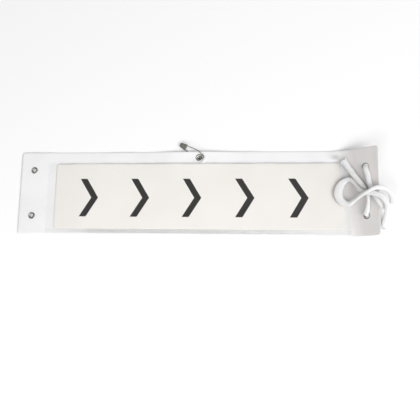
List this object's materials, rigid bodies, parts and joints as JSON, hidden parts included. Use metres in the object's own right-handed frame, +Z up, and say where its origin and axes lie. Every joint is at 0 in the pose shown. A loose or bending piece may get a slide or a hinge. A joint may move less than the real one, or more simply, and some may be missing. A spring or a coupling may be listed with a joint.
{
  "type": "pocket armband",
  "caption": "Flat vinyl armband with a clear window over a card, metal eyelets at one end, a safety pin at its upper edge and a cord tied in a bow at the other, curled end.",
  "frame": {"origin": "middle of the base of the box round everything but the cord, on the surface that the armband lies on", "axes": "+X along the strap from the eyelets to the cord, +Y across it towards the safety pin, +Z up out of its front face"},
  "size_m": [0.3995, 0.0998, 0.0315],
  "materials": {
    "white_vinyl": "satin white vinyl",
    "cream_card": "matt cream card",
    "clear_vinyl": "glossy clear vinyl",
    "nickel": "nickel plated, a little dull",
    "pin_steel": "plated wire",
    "pin_cap_steel": "plated sheet, a little dull",
    "white_braid": "soft round braid"
  },
  "bodies": {
    "root": {"backing_sheet": "white_vinyl", "insert_panel": "cream_card", "clear_cover": "clear_vinyl", "eyelet_left_upper": "nickel", "eyelet_left_lower": "nickel", "eyelet_top": "nickel", "pin_wire": "pin_steel", "pin_cap": "pin_cap_steel", "tie_cord": "white_braid"}
  },
  "joints": []
}
